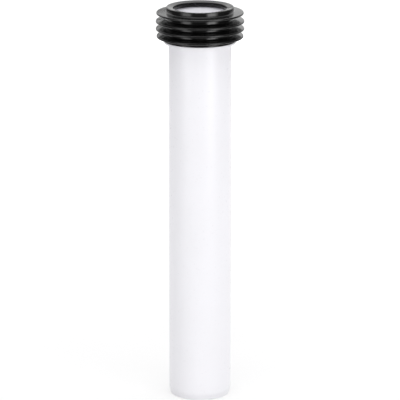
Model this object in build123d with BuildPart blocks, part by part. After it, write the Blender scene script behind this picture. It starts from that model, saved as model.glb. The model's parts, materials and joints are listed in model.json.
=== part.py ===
"""Straight flush pipe: a white moulded pipe that carries a black finned seal on its upper end.

Millimetres. The pipe stands on its plain end at z = 0, with its axis along +Z.
"""
import os

from build123d import *

# Pipe
pipe_length = 284.0
pipe_diameter = 45.0
pipe_wall = 2.0
mouth_bevel = 0.5

# Bevelled lead-in at the plain end, and the flat ring of wall that it leaves to stand on
lead_in_length = 4.6
end_land = 0.8

# Stop flange that the seal is pushed up against
flange_reach = 3.5
flange_thickness = 1.4
flange_edge_bevel = 0.3
flange_root_bevel = 0.6

# Seal: a plain tube around the pipe, with a thicker foot that stands on the stop flange
tube_wall = 1.65
foot_wall = 3.5
foot_height = 3.3
moulded_bevel = 0.5

# Inward lip over the pipe's end: its face slopes down into the waterway like a funnel
lip_thickness = 4.3
lip_overhang = 1.3
lip_face_drop = 0.9
lip_draft = 0.12
lip_edge_bevel = 0.35

# Fins: thin discs that thicken towards the tube, the first one less; the end ones stand back a little
fin_count = 4
first_fin_depth = 4.65
first_fin_gap = 6.0
fin_pitch = 5.4
fin_reach = 7.4
end_fin_setback = 0.4
first_fin_root_thickness = 2.1
fin_root_thickness = 3.3
fin_tip_thickness = 1.4
fin_edge_bevel = 0.3

# Sizes that follow from those above
pipe_radius = pipe_diameter / 2
bore_radius = pipe_radius - pipe_wall
tube_radius = pipe_radius + tube_wall
foot_radius = pipe_radius + foot_wall
lip_radius = bore_radius - lip_overhang
fin_root_radius = pipe_radius + tube_wall / 2
fin_radius = tube_radius + fin_reach

seal_top = pipe_length + lip_thickness
first_fin_z = seal_top - first_fin_depth
second_fin_z = first_fin_z - first_fin_gap
fin_heights = [first_fin_z]
for index in range(fin_count - 1):
    fin_heights.append(second_fin_z - index * fin_pitch)
seal_base = fin_heights[-1] - foot_height
lip_face_z = seal_top - lip_face_drop
lip_parting_z = (pipe_length + lip_face_z) / 2

# How far a corner may lie from a radius and still be picked as lying on it
pick = 0.01

os.makedirs("parts", exist_ok=True)

# The pipe's section: wall, bevelled end and stop flange in one profile
with BuildPart() as flush_pipe:
    with BuildSketch(Plane.XZ) as pipe_section:
        with BuildLine():
            Polyline(
                (bore_radius, 0),
                (bore_radius + end_land, 0),
                (pipe_radius, lead_in_length),
                (pipe_radius, pipe_length),
                (bore_radius, pipe_length),
                close=True,
            )
        make_face()
        with Locations((pipe_radius, seal_base)):
            Rectangle(flange_reach, flange_thickness, align=(Align.MIN, Align.MAX))
        mouth_edge = vertices().group_by(Axis.Y)[-1].sort_by(Axis.X)[0]
        chamfer(mouth_edge, length=mouth_bevel)
        flange_edges = vertices().group_by(Axis.X)[-1]
        chamfer(flange_edges, length=flange_edge_bevel)
        wall_corners = vertices().filter_by_position(Axis.X, pipe_radius - pick, pipe_radius + pick)
        flange_root = wall_corners.group_by(Axis.Y)[1]
        chamfer(flange_root, length=flange_root_bevel)
    revolve(axis=Axis.Z)
flush_pipe.part.label = "flush_pipe"

# The seal's section: foot, tube and lip first, then the fins, then every moulded corner
with BuildPart() as finned_seal:
    with BuildSketch(Plane.XZ) as seal_section:
        with BuildLine():
            Polyline(
                (pipe_radius, seal_base),
                (foot_radius, seal_base),
                (foot_radius, fin_heights[-1]),
                (tube_radius, fin_heights[-1]),
                (tube_radius, seal_top),
                (lip_radius + lip_draft, lip_face_z),
                (lip_radius, lip_parting_z),
                (lip_radius + lip_draft, pipe_length),
                (pipe_radius, pipe_length),
                close=True,
            )
        make_face()
        for index, fin_z in enumerate(fin_heights):
            at_an_end = index in (0, fin_count - 1)
            tip_radius = fin_radius - end_fin_setback if at_an_end else fin_radius
            root_thickness = fin_root_thickness if index else first_fin_root_thickness
            with BuildLine():
                Polyline(
                    (fin_root_radius, fin_z - root_thickness / 2),
                    (tip_radius, fin_z - fin_tip_thickness / 2),
                    (tip_radius, fin_z + fin_tip_thickness / 2 - fin_edge_bevel),
                    (tip_radius - fin_edge_bevel, fin_z + fin_tip_thickness / 2),
                    (fin_root_radius, fin_z + root_thickness / 2),
                    close=True,
                )
            make_face()
        moulded = vertices().filter_by_position(Axis.X, tube_radius - pick, foot_radius + pick)
        chamfer(moulded, length=moulded_bevel)
        lip_edges = vertices().filter_by_position(Axis.X, lip_radius + pick, lip_radius + lip_draft + pick)
        chamfer(lip_edges.sort_by(Axis.Y)[-1], length=lip_edge_bevel)
    revolve(axis=Axis.Z)
finned_seal.part.label = "finned_seal"

export_step(flush_pipe.part, "parts/flush_pipe.step")
export_step(finned_seal.part, "parts/finned_seal.step")
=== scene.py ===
"""Looks of the straight flush pipe: a white moulded pipe with a black moulded rubber seal, in a pale studio.

Metres, in the frame of the CAD model: the pipe stands on its plain end at z = 0, with its axis along +Z.
The camera looks along +Y, and azimuths are measured from its side, positive towards +X.
"""
import json
import math

import bpy
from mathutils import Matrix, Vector


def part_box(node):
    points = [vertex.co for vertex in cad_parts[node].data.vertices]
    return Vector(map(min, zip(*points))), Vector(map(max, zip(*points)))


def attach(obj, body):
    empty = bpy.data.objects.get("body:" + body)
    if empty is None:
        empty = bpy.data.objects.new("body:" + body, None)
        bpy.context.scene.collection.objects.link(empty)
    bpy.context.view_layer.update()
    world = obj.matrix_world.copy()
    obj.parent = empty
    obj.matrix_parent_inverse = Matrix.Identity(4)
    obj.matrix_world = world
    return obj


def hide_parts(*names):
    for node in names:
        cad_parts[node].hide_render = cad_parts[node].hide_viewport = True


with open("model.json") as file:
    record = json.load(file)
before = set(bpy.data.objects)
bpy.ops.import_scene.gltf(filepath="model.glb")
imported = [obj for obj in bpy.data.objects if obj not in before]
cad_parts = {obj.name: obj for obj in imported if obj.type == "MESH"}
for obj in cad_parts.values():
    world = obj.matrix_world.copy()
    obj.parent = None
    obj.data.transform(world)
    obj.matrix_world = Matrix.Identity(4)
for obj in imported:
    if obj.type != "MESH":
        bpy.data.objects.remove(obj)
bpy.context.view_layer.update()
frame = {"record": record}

# Sizes that the frame gives
mm = 0.001
mounts = {mount["name"]: mount["dims"] for mount in frame["record"]["mounts"]}
pipe_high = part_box("flush_pipe")[1]
seal_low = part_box("finned_seal")[0]
pipe_radius = mounts["plain_end"]["r_mm"] * mm
bore_radius = mounts["waterway"]["r_mm"] * mm
fin_radius = mounts["pan_fins"]["r_mm"] * mm
pipe_length = pipe_high.z
flange_radius = pipe_high.x
seal_base = seal_low.z

# Pipe
lead_in_length = 4.6 * mm
end_land = 0.8 * mm
flange_thickness = 1.4 * mm
foot_rounding = 0.25 * mm
lead_in_rounding = 10.0 * mm
flange_root_rounding = 0.7 * mm
flange_edge_rounding = 0.35 * mm
mouth_rounding = 0.5 * mm

# Seal
tube_wall = 1.65 * mm
foot_wall = 3.5 * mm
lip_thickness = 4.3 * mm
lip_overhang = 1.3 * mm
lip_face_drop = 0.9 * mm
lip_draft = 0.12 * mm
lip_rounding = 0.45 * mm
moulded_rounding = 0.6 * mm

# Fins, with half their thickness at the root, at the foot below the last one, and at the tip
fin_count = 4
first_fin_depth = 4.65 * mm
first_fin_gap = 6.0 * mm
fin_pitch = 5.4 * mm
end_fin_setback = 0.4 * mm
first_fin_root_half = 1.0 * mm
fin_root_half = 1.6 * mm
fin_foot_half = 1.375 * mm
fin_tip_half = 0.7 * mm
fin_upper_rounding = 0.55 * mm
fin_lower_rounding = 0.5 * mm
fin_root_rounding = 0.8 * mm

# Edges where the seal and the pipe meet, seen at the flange and hidden elsewhere
seat_rounding = 0.15 * mm
hidden_rounding = 0.1 * mm

# Sizes that follow from those above
flange_low = seal_base - flange_thickness
tube_radius = pipe_radius + tube_wall
foot_radius = pipe_radius + foot_wall
lip_radius = bore_radius - lip_overhang
seal_top = pipe_length + lip_thickness
lip_face_z = seal_top - lip_face_drop
lip_parting_z = (pipe_length + lip_face_z) / 2
first_fin_z = seal_top - first_fin_depth
second_fin_z = first_fin_z - first_fin_gap

# Fineness of the turned pieces
turns = 256
arc_steps = 5


def rounded(corners):
    """Points of a closed section whose corners, given as (radius, height, rounding), are turned into arcs."""
    points = []
    for index, (radius, height, rounding) in enumerate(corners):
        corner = Vector((radius, height))
        before = (Vector(corners[index - 1][:2]) - corner).normalized()
        after = (Vector(corners[(index + 1) % len(corners)][:2]) - corner).normalized()
        half = before.angle(after) / 2
        middle = corner + (before + after).normalized() * rounding / math.sin(half)
        start = corner + before * rounding / math.tan(half) - middle
        end = corner + after * rounding / math.tan(half) - middle
        first = math.atan2(start.y, start.x)
        sweep = math.atan2(end.y, end.x) - first
        sweep = (sweep + math.pi) % (2 * math.pi) - math.pi
        for step in range(arc_steps + 1):
            angle = first + sweep * step / arc_steps
            points.append((middle.x + rounding * math.cos(angle), middle.y + rounding * math.sin(angle)))
    return points


def turned(name, section, material, node):
    """Turns a closed section of (radius, height) points round the pipe's axis, in the place of a CAD node."""
    vertices = []
    faces = []
    count = len(section)
    for turn in range(turns):
        angle = 2 * math.pi * turn / turns
        here = turn * count
        there = (turn + 1) % turns * count
        for index, (radius, height) in enumerate(section):
            after = (index + 1) % count
            vertices.append((radius * math.cos(angle), radius * math.sin(angle), height))
            faces.append((here + index, there + index, there + after, here + after))
    mesh = bpy.data.meshes.new(name)
    mesh.from_pydata(vertices, [], faces)
    mesh.shade_smooth()
    mesh.materials.append(material)
    piece = bpy.data.objects.new(name, mesh)
    bpy.context.collection.objects.link(piece)
    piece.modifiers.new("even_normals", "WEIGHTED_NORMAL")
    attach(piece, "root")
    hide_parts(node)


# The range that most values of a noise lie in
noise_low = 0.3
noise_high = 0.7


def node_material(name):
    """A new material with its node tree and its Principled shader."""
    material = bpy.data.materials.new(name)
    material.use_nodes = True
    tree = material.node_tree
    return material, tree, tree.nodes["Principled BSDF"]


def noise(tree, scale, detail, stretch=(1.0, 1.0, 1.0)):
    """Noise over the object's own coordinates, drawn out along an axis with a small stretch value."""
    place = tree.nodes.new("ShaderNodeTexCoord")
    mapping = tree.nodes.new("ShaderNodeMapping")
    mapping.inputs["Scale"].default_value = stretch
    texture = tree.nodes.new("ShaderNodeTexNoise")
    texture.inputs["Scale"].default_value = scale
    texture.inputs["Detail"].default_value = detail
    tree.links.new(place.outputs["Object"], mapping.inputs["Vector"])
    tree.links.new(mapping.outputs["Vector"], texture.inputs["Vector"])
    return texture.outputs["Fac"]


def spread(tree, value, from_low, from_high, to_low, to_high):
    """A value taken from one range to another."""
    node = tree.nodes.new("ShaderNodeMapRange")
    node.inputs["From Min"].default_value = from_low
    node.inputs["From Max"].default_value = from_high
    node.inputs["To Min"].default_value = to_low
    node.inputs["To Max"].default_value = to_high
    tree.links.new(value, node.inputs["Value"])
    return node.outputs["Result"]


def tint(tree, value, dark, light):
    """A colour between two, by a noise value."""
    node = tree.nodes.new("ShaderNodeValToRGB")
    node.color_ramp.elements[0].position = noise_low
    node.color_ramp.elements[0].color = (*dark, 1.0)
    node.color_ramp.elements[1].position = noise_high
    node.color_ramp.elements[1].color = (*light, 1.0)
    tree.links.new(value, node.inputs["Fac"])
    return node.outputs["Color"]


def bump(tree, height, strength, distance, under=None):
    """A bump from a height, over another one if it is given."""
    node = tree.nodes.new("ShaderNodeBump")
    node.inputs["Strength"].default_value = strength
    node.inputs["Distance"].default_value = distance
    tree.links.new(height, node.inputs["Height"])
    if under is not None:
        tree.links.new(under, node.inputs["Normal"])
    return node.outputs["Normal"]


# White plastic: satin, a little uneven in gloss, with faint drawn lines along the pipe
plastic_dark = (0.868, 0.862, 0.895)
plastic_light = (0.885, 0.878, 0.915)
plastic_smooth = 0.27
plastic_rough = 0.37
plastic_relief = 0.05 * mm
white_plastic, tree, shader = node_material("white_plastic_moulded")
clouds = noise(tree, scale=22.0, detail=3.0)
tree.links.new(tint(tree, clouds, plastic_dark, plastic_light), shader.inputs["Base Color"])
patches = noise(tree, scale=700.0, detail=2.0)
gloss = spread(tree, patches, noise_low, noise_high, plastic_smooth, plastic_rough)
tree.links.new(gloss, shader.inputs["Roughness"])
lines = noise(tree, scale=1.0, detail=2.0, stretch=(900.0, 900.0, 8.0))
drawn_lines = bump(tree, lines, strength=0.05, distance=plastic_relief)
pores = noise(tree, scale=1500.0, detail=2.0)
skin = bump(tree, pores, strength=0.04, distance=plastic_relief, under=drawn_lines)
tree.links.new(skin, shader.inputs["Normal"])

# Black rubber: low sheen, with a fine moulded grain and a faint bloom
rubber_dark = (0.007, 0.007, 0.007)
rubber_light = (0.011, 0.011, 0.011)
rubber_smooth = 0.13
rubber_rough = 0.18
rubber_relief = 0.05 * mm
black_rubber, tree, shader = node_material("black_rubber_moulded")
bloom = noise(tree, scale=90.0, detail=4.0)
tree.links.new(tint(tree, bloom, rubber_dark, rubber_light), shader.inputs["Base Color"])
patches = noise(tree, scale=350.0, detail=3.0)
gloss = spread(tree, patches, noise_low, noise_high, rubber_smooth, rubber_rough)
tree.links.new(gloss, shader.inputs["Roughness"])
pores = noise(tree, scale=2600.0, detail=3.0)
grain = bump(tree, pores, strength=0.03, distance=rubber_relief)
tree.links.new(grain, shader.inputs["Normal"])

# The pipe's section, from the plain end's foot up the outside and down the bore
pipe_corners = [
    (bore_radius, 0.0, foot_rounding),
    (bore_radius + end_land, 0.0, foot_rounding),
    (pipe_radius, lead_in_length, lead_in_rounding),
    (pipe_radius, flange_low, flange_root_rounding),
    (flange_radius, flange_low, flange_edge_rounding),
    (flange_radius, seal_base, seat_rounding),
    (pipe_radius, seal_base, hidden_rounding),
    (pipe_radius, pipe_length, hidden_rounding),
    (bore_radius, pipe_length, mouth_rounding),
]
turned("moulded_pipe", rounded(pipe_corners), white_plastic, "flush_pipe")

# The seal's section, from its foot up over the fins and the tube, and down inside the lip
seal_corners = [
    (pipe_radius, seal_base, hidden_rounding),
    (foot_radius, seal_base, seat_rounding),
]
for index in reversed(range(fin_count)):
    is_first = index == 0
    is_last = index == fin_count - 1
    fin_z = first_fin_z if is_first else second_fin_z - (index - 1) * fin_pitch
    tip_radius = fin_radius - end_fin_setback if is_first or is_last else fin_radius
    root_half = first_fin_root_half if is_first else fin_root_half
    lower_radius = foot_radius if is_last else tube_radius
    lower_half = fin_foot_half if is_last else root_half
    seal_corners += [
        (lower_radius, fin_z - lower_half, fin_root_rounding),
        (tip_radius, fin_z - fin_tip_half, fin_lower_rounding),
        (tip_radius, fin_z + fin_tip_half, fin_upper_rounding),
        (tube_radius, fin_z + root_half, fin_root_rounding),
    ]
seal_corners += [
    (tube_radius, seal_top, moulded_rounding),
    (lip_radius + lip_draft, lip_face_z, lip_rounding),
    (lip_radius, lip_parting_z, hidden_rounding),
    (lip_radius + lip_draft, pipe_length, hidden_rounding),
    (pipe_radius, pipe_length, hidden_rounding),
]
turned("moulded_seal", rounded(seal_corners), black_rubber, "finned_seal")

# Colours of the stage, which isn't part of the object
white = (1.0, 1.0, 1.0, 1.0)
floor_grey = 0.5
cloth_grey = 0.04


def stage_mesh(name, vertices, faces, material):
    """A stage object made of a few plain faces."""
    mesh = bpy.data.meshes.new(name)
    mesh.from_pydata(vertices, [], faces)
    mesh.materials.append(material)
    thing = bpy.data.objects.new(name, mesh)
    bpy.context.collection.objects.link(thing)
    return thing


def matt_material(name, grey):
    """A new material of one grey with no gloss, with its node tree and its Principled shader."""
    material, tree, shader = node_material(name)
    shader.inputs["Base Color"].default_value = (grey, grey, grey, 1.0)
    shader.inputs["Roughness"].default_value = 1.0
    shader.inputs["Specular IOR Level"].default_value = 0.0
    return material, tree, shader


def only_in_gloss(thing):
    """Leaves a stage object to be seen in reflections alone."""
    thing.visible_camera = False
    thing.visible_diffuse = False
    thing.visible_transmission = False
    thing.visible_shadow = False


def seen_rays(tree):
    """1 for the rays that show the background to the camera, straight, mirrored or through something."""
    path = tree.nodes.new("ShaderNodeLightPath")
    total = path.outputs["Is Camera Ray"]
    for name in ("Is Glossy Ray", "Is Transmission Ray"):
        larger = tree.nodes.new("ShaderNodeMath")
        larger.operation = "MAXIMUM"
        tree.links.new(total, larger.inputs[0])
        tree.links.new(path.outputs[name], larger.inputs[1])
        total = larger.outputs["Value"]
    return total


# Floor: lifted to white only where it is seen, and near the pipe only so far that the shadow stays
floor_half = 12.0
near_reach = 0.2
near_lift = 0.455
far_reach = 1.6
far_lift = 0.76
floor_paint, tree, shader = matt_material("floor_paint", floor_grey)
shader.inputs["Emission Color"].default_value = white
place = tree.nodes.new("ShaderNodeTexCoord")
reach = tree.nodes.new("ShaderNodeVectorMath")
reach.operation = "LENGTH"
tree.links.new(place.outputs["Object"], reach.inputs[0])
lift = spread(tree, reach.outputs["Value"], near_reach, far_reach, near_lift, far_lift)
shown = tree.nodes.new("ShaderNodeMath")
shown.operation = "MULTIPLY"
tree.links.new(seen_rays(tree), shown.inputs[0])
tree.links.new(lift, shown.inputs[1])
tree.links.new(shown.outputs["Value"], shader.inputs["Emission Strength"])
floor_corners = [
    (-floor_half, -floor_half, 0.0),
    (floor_half, -floor_half, 0.0),
    (floor_half, floor_half, 0.0),
    (-floor_half, floor_half, 0.0),
]
stage_mesh("studio_floor", floor_corners, [(0, 1, 2, 3)], floor_paint)

# Dark curtain round the camera's side, and a dark cloth on the floor that leaves a free ring round the pipe
cloth_front = 0.35
cloth_back = 1.25
cloth_height = 0.5 * mm
curtain_radius = 2.9
curtain_height = 3.2
curtain_steps = 72
curtain_half_angle = math.radians(115.0)
points_per_step = 3
dark_cloth = matt_material("curtain_cloth", cloth_grey)[0]
curtain_points = []
curtain_faces = []
for step in range(curtain_steps):
    angle = -math.pi + 2 * math.pi * step / curtain_steps
    side = math.sin(angle)
    front = -math.cos(angle)
    here = step * points_per_step
    there = (step + 1) % curtain_steps * points_per_step
    cloth_inner = (cloth_back + cloth_front) / 2 - (cloth_back - cloth_front) / 2 * math.cos(angle)
    curtain_points += [
        (cloth_inner * side, cloth_inner * front, cloth_height),
        (curtain_radius * side, curtain_radius * front, cloth_height),
        (curtain_radius * side, curtain_radius * front, curtain_height),
    ]
    curtain_faces.append((here, there, there + 1, here + 1))
    if abs(angle) < curtain_half_angle:
        curtain_faces.append((here + 1, there + 1, there + 2, here + 2))
only_in_gloss(stage_mesh("studio_curtain", curtain_points, curtain_faces, dark_cloth))

# Dark card behind on the left, which the tops of the fins mirror on that side
card_y = 2.0
card_left = -1.5
card_right = -0.04
card_low = 0.57
card_high = 0.68
card_corners = [
    (card_left, card_y, card_low),
    (card_right, card_y, card_low),
    (card_right, card_y, card_high),
    (card_left, card_y, card_high),
]
only_in_gloss(stage_mesh("studio_card", card_corners, [(0, 1, 2, 3)], dark_cloth))

# Soft light from all round, and a white background where it is seen
air_light = 0.54
air_seen = 1.0
world = bpy.data.worlds.new("studio_air")
bpy.context.scene.world = world
world.use_nodes = True
tree = world.node_tree
air = tree.nodes["Background"]
air.inputs["Color"].default_value = white
air_strength = spread(tree, seen_rays(tree), 0.0, 1.0, air_light, air_seen)
tree.links.new(air_strength, air.inputs["Strength"])

# Soft lights: watts for each square metre at strength 1, and the point that they are turned to
softbox_watts = 4.0
softbox_aim = Vector((0.0, 0.0, 0.2))


def softbox(name, azimuth, distance, middle_z, width, height, strength):
    """A rectangular soft light, turned to the pipe."""
    lamp = bpy.data.lights.new(name, "AREA")
    lamp.shape = "RECTANGLE"
    lamp.size = width
    lamp.size_y = height
    lamp.energy = softbox_watts * strength * width * height
    thing = bpy.data.objects.new(name, lamp)
    bpy.context.collection.objects.link(thing)
    angle = math.radians(azimuth)
    thing.location = (distance * math.sin(angle), -distance * math.cos(angle), middle_z)
    thing.rotation_euler = (softbox_aim - thing.location).to_track_quat("-Z", "Y").to_euler()
    thing.visible_camera = False
    return thing


# Light tables beside the camera, each with a brighter core, which make the light bands on the rubber
table_z = 0.18
table_height = 0.32
for name, azimuth, distance, width, strength in (
    ("light_table_right", 42.0, 1.0, 0.72, 1.2),
    ("light_table_right_core", 40.0, 0.99, 0.45, 2.0),
    ("light_table_left", -48.0, 1.0, 0.72, 0.7),
    ("light_table_left_core", -46.0, 0.99, 0.45, 1.1),
):
    softbox(name, azimuth, distance, table_z, width, table_height, strength)

# Soft light straight above
softbox("softbox_overhead", azimuth=0.0, distance=0.0, middle_z=1.6, width=1.4, height=1.4, strength=1.3)

# Fills that no reflection shows: low ones round the pipe, and a high one over the camera
fill_distance = 1.3
fill_width = 1.0
for name, azimuth, middle_z, height, strength in (
    ("fill_right", 45.0, 0.27, 0.5, 1.22),
    ("fill_left", -40.0, 0.27, 0.5, 1.0),
    ("fill_front", 0.0, 1.5, 1.0, 1.2),
    ("fill_back_right", 125.0, 0.27, 0.5, 1.7),
    ("fill_back_left", -125.0, 0.27, 0.5, 0.9),
    ("fill_back", 180.0, 0.27, 0.5, 2.0),
):
    fill = softbox(name, azimuth, fill_distance, middle_z, fill_width, height, strength)
    fill.visible_glossy = False

# Narrow light from the front and above into the mouth, which the big ones hardly reach
snoot_lamp = bpy.data.lights.new("snoot", "SPOT")
snoot_lamp.energy = 28.0
snoot_lamp.spot_size = math.radians(2.6)
snoot_lamp.spot_blend = 0.4
snoot_lamp.shadow_soft_size = 0.015
snoot = bpy.data.objects.new("snoot", snoot_lamp)
bpy.context.collection.objects.link(snoot)
far_wall = Vector((0.0, bore_radius, pipe_length))
snoot_offset = Vector((0.0, -0.9, 0.8))
snoot.location = far_wall + snoot_offset
snoot.rotation_euler = (far_wall - snoot.location).to_track_quat("-Z", "Y").to_euler()
snoot.visible_camera = False
snoot.visible_glossy = False

# Camera at the photograph's angle
camera_distance = 2.2
camera_pitch = math.radians(14.88)
aim_height = 0.14547
camera_data = bpy.data.cameras.new("camera")
camera_data.sensor_width = 36.0
camera_data.lens = 273.2
camera = bpy.data.objects.new("camera", camera_data)
bpy.context.collection.objects.link(camera)
camera.location = (
    0.0,
    -camera_distance * math.cos(camera_pitch),
    aim_height + camera_distance * math.sin(camera_pitch),
)
camera.rotation_euler = (math.pi / 2 - camera_pitch, 0.0, 0.0)
bpy.context.scene.camera = camera
bpy.context.scene.view_settings.view_transform = "Standard"
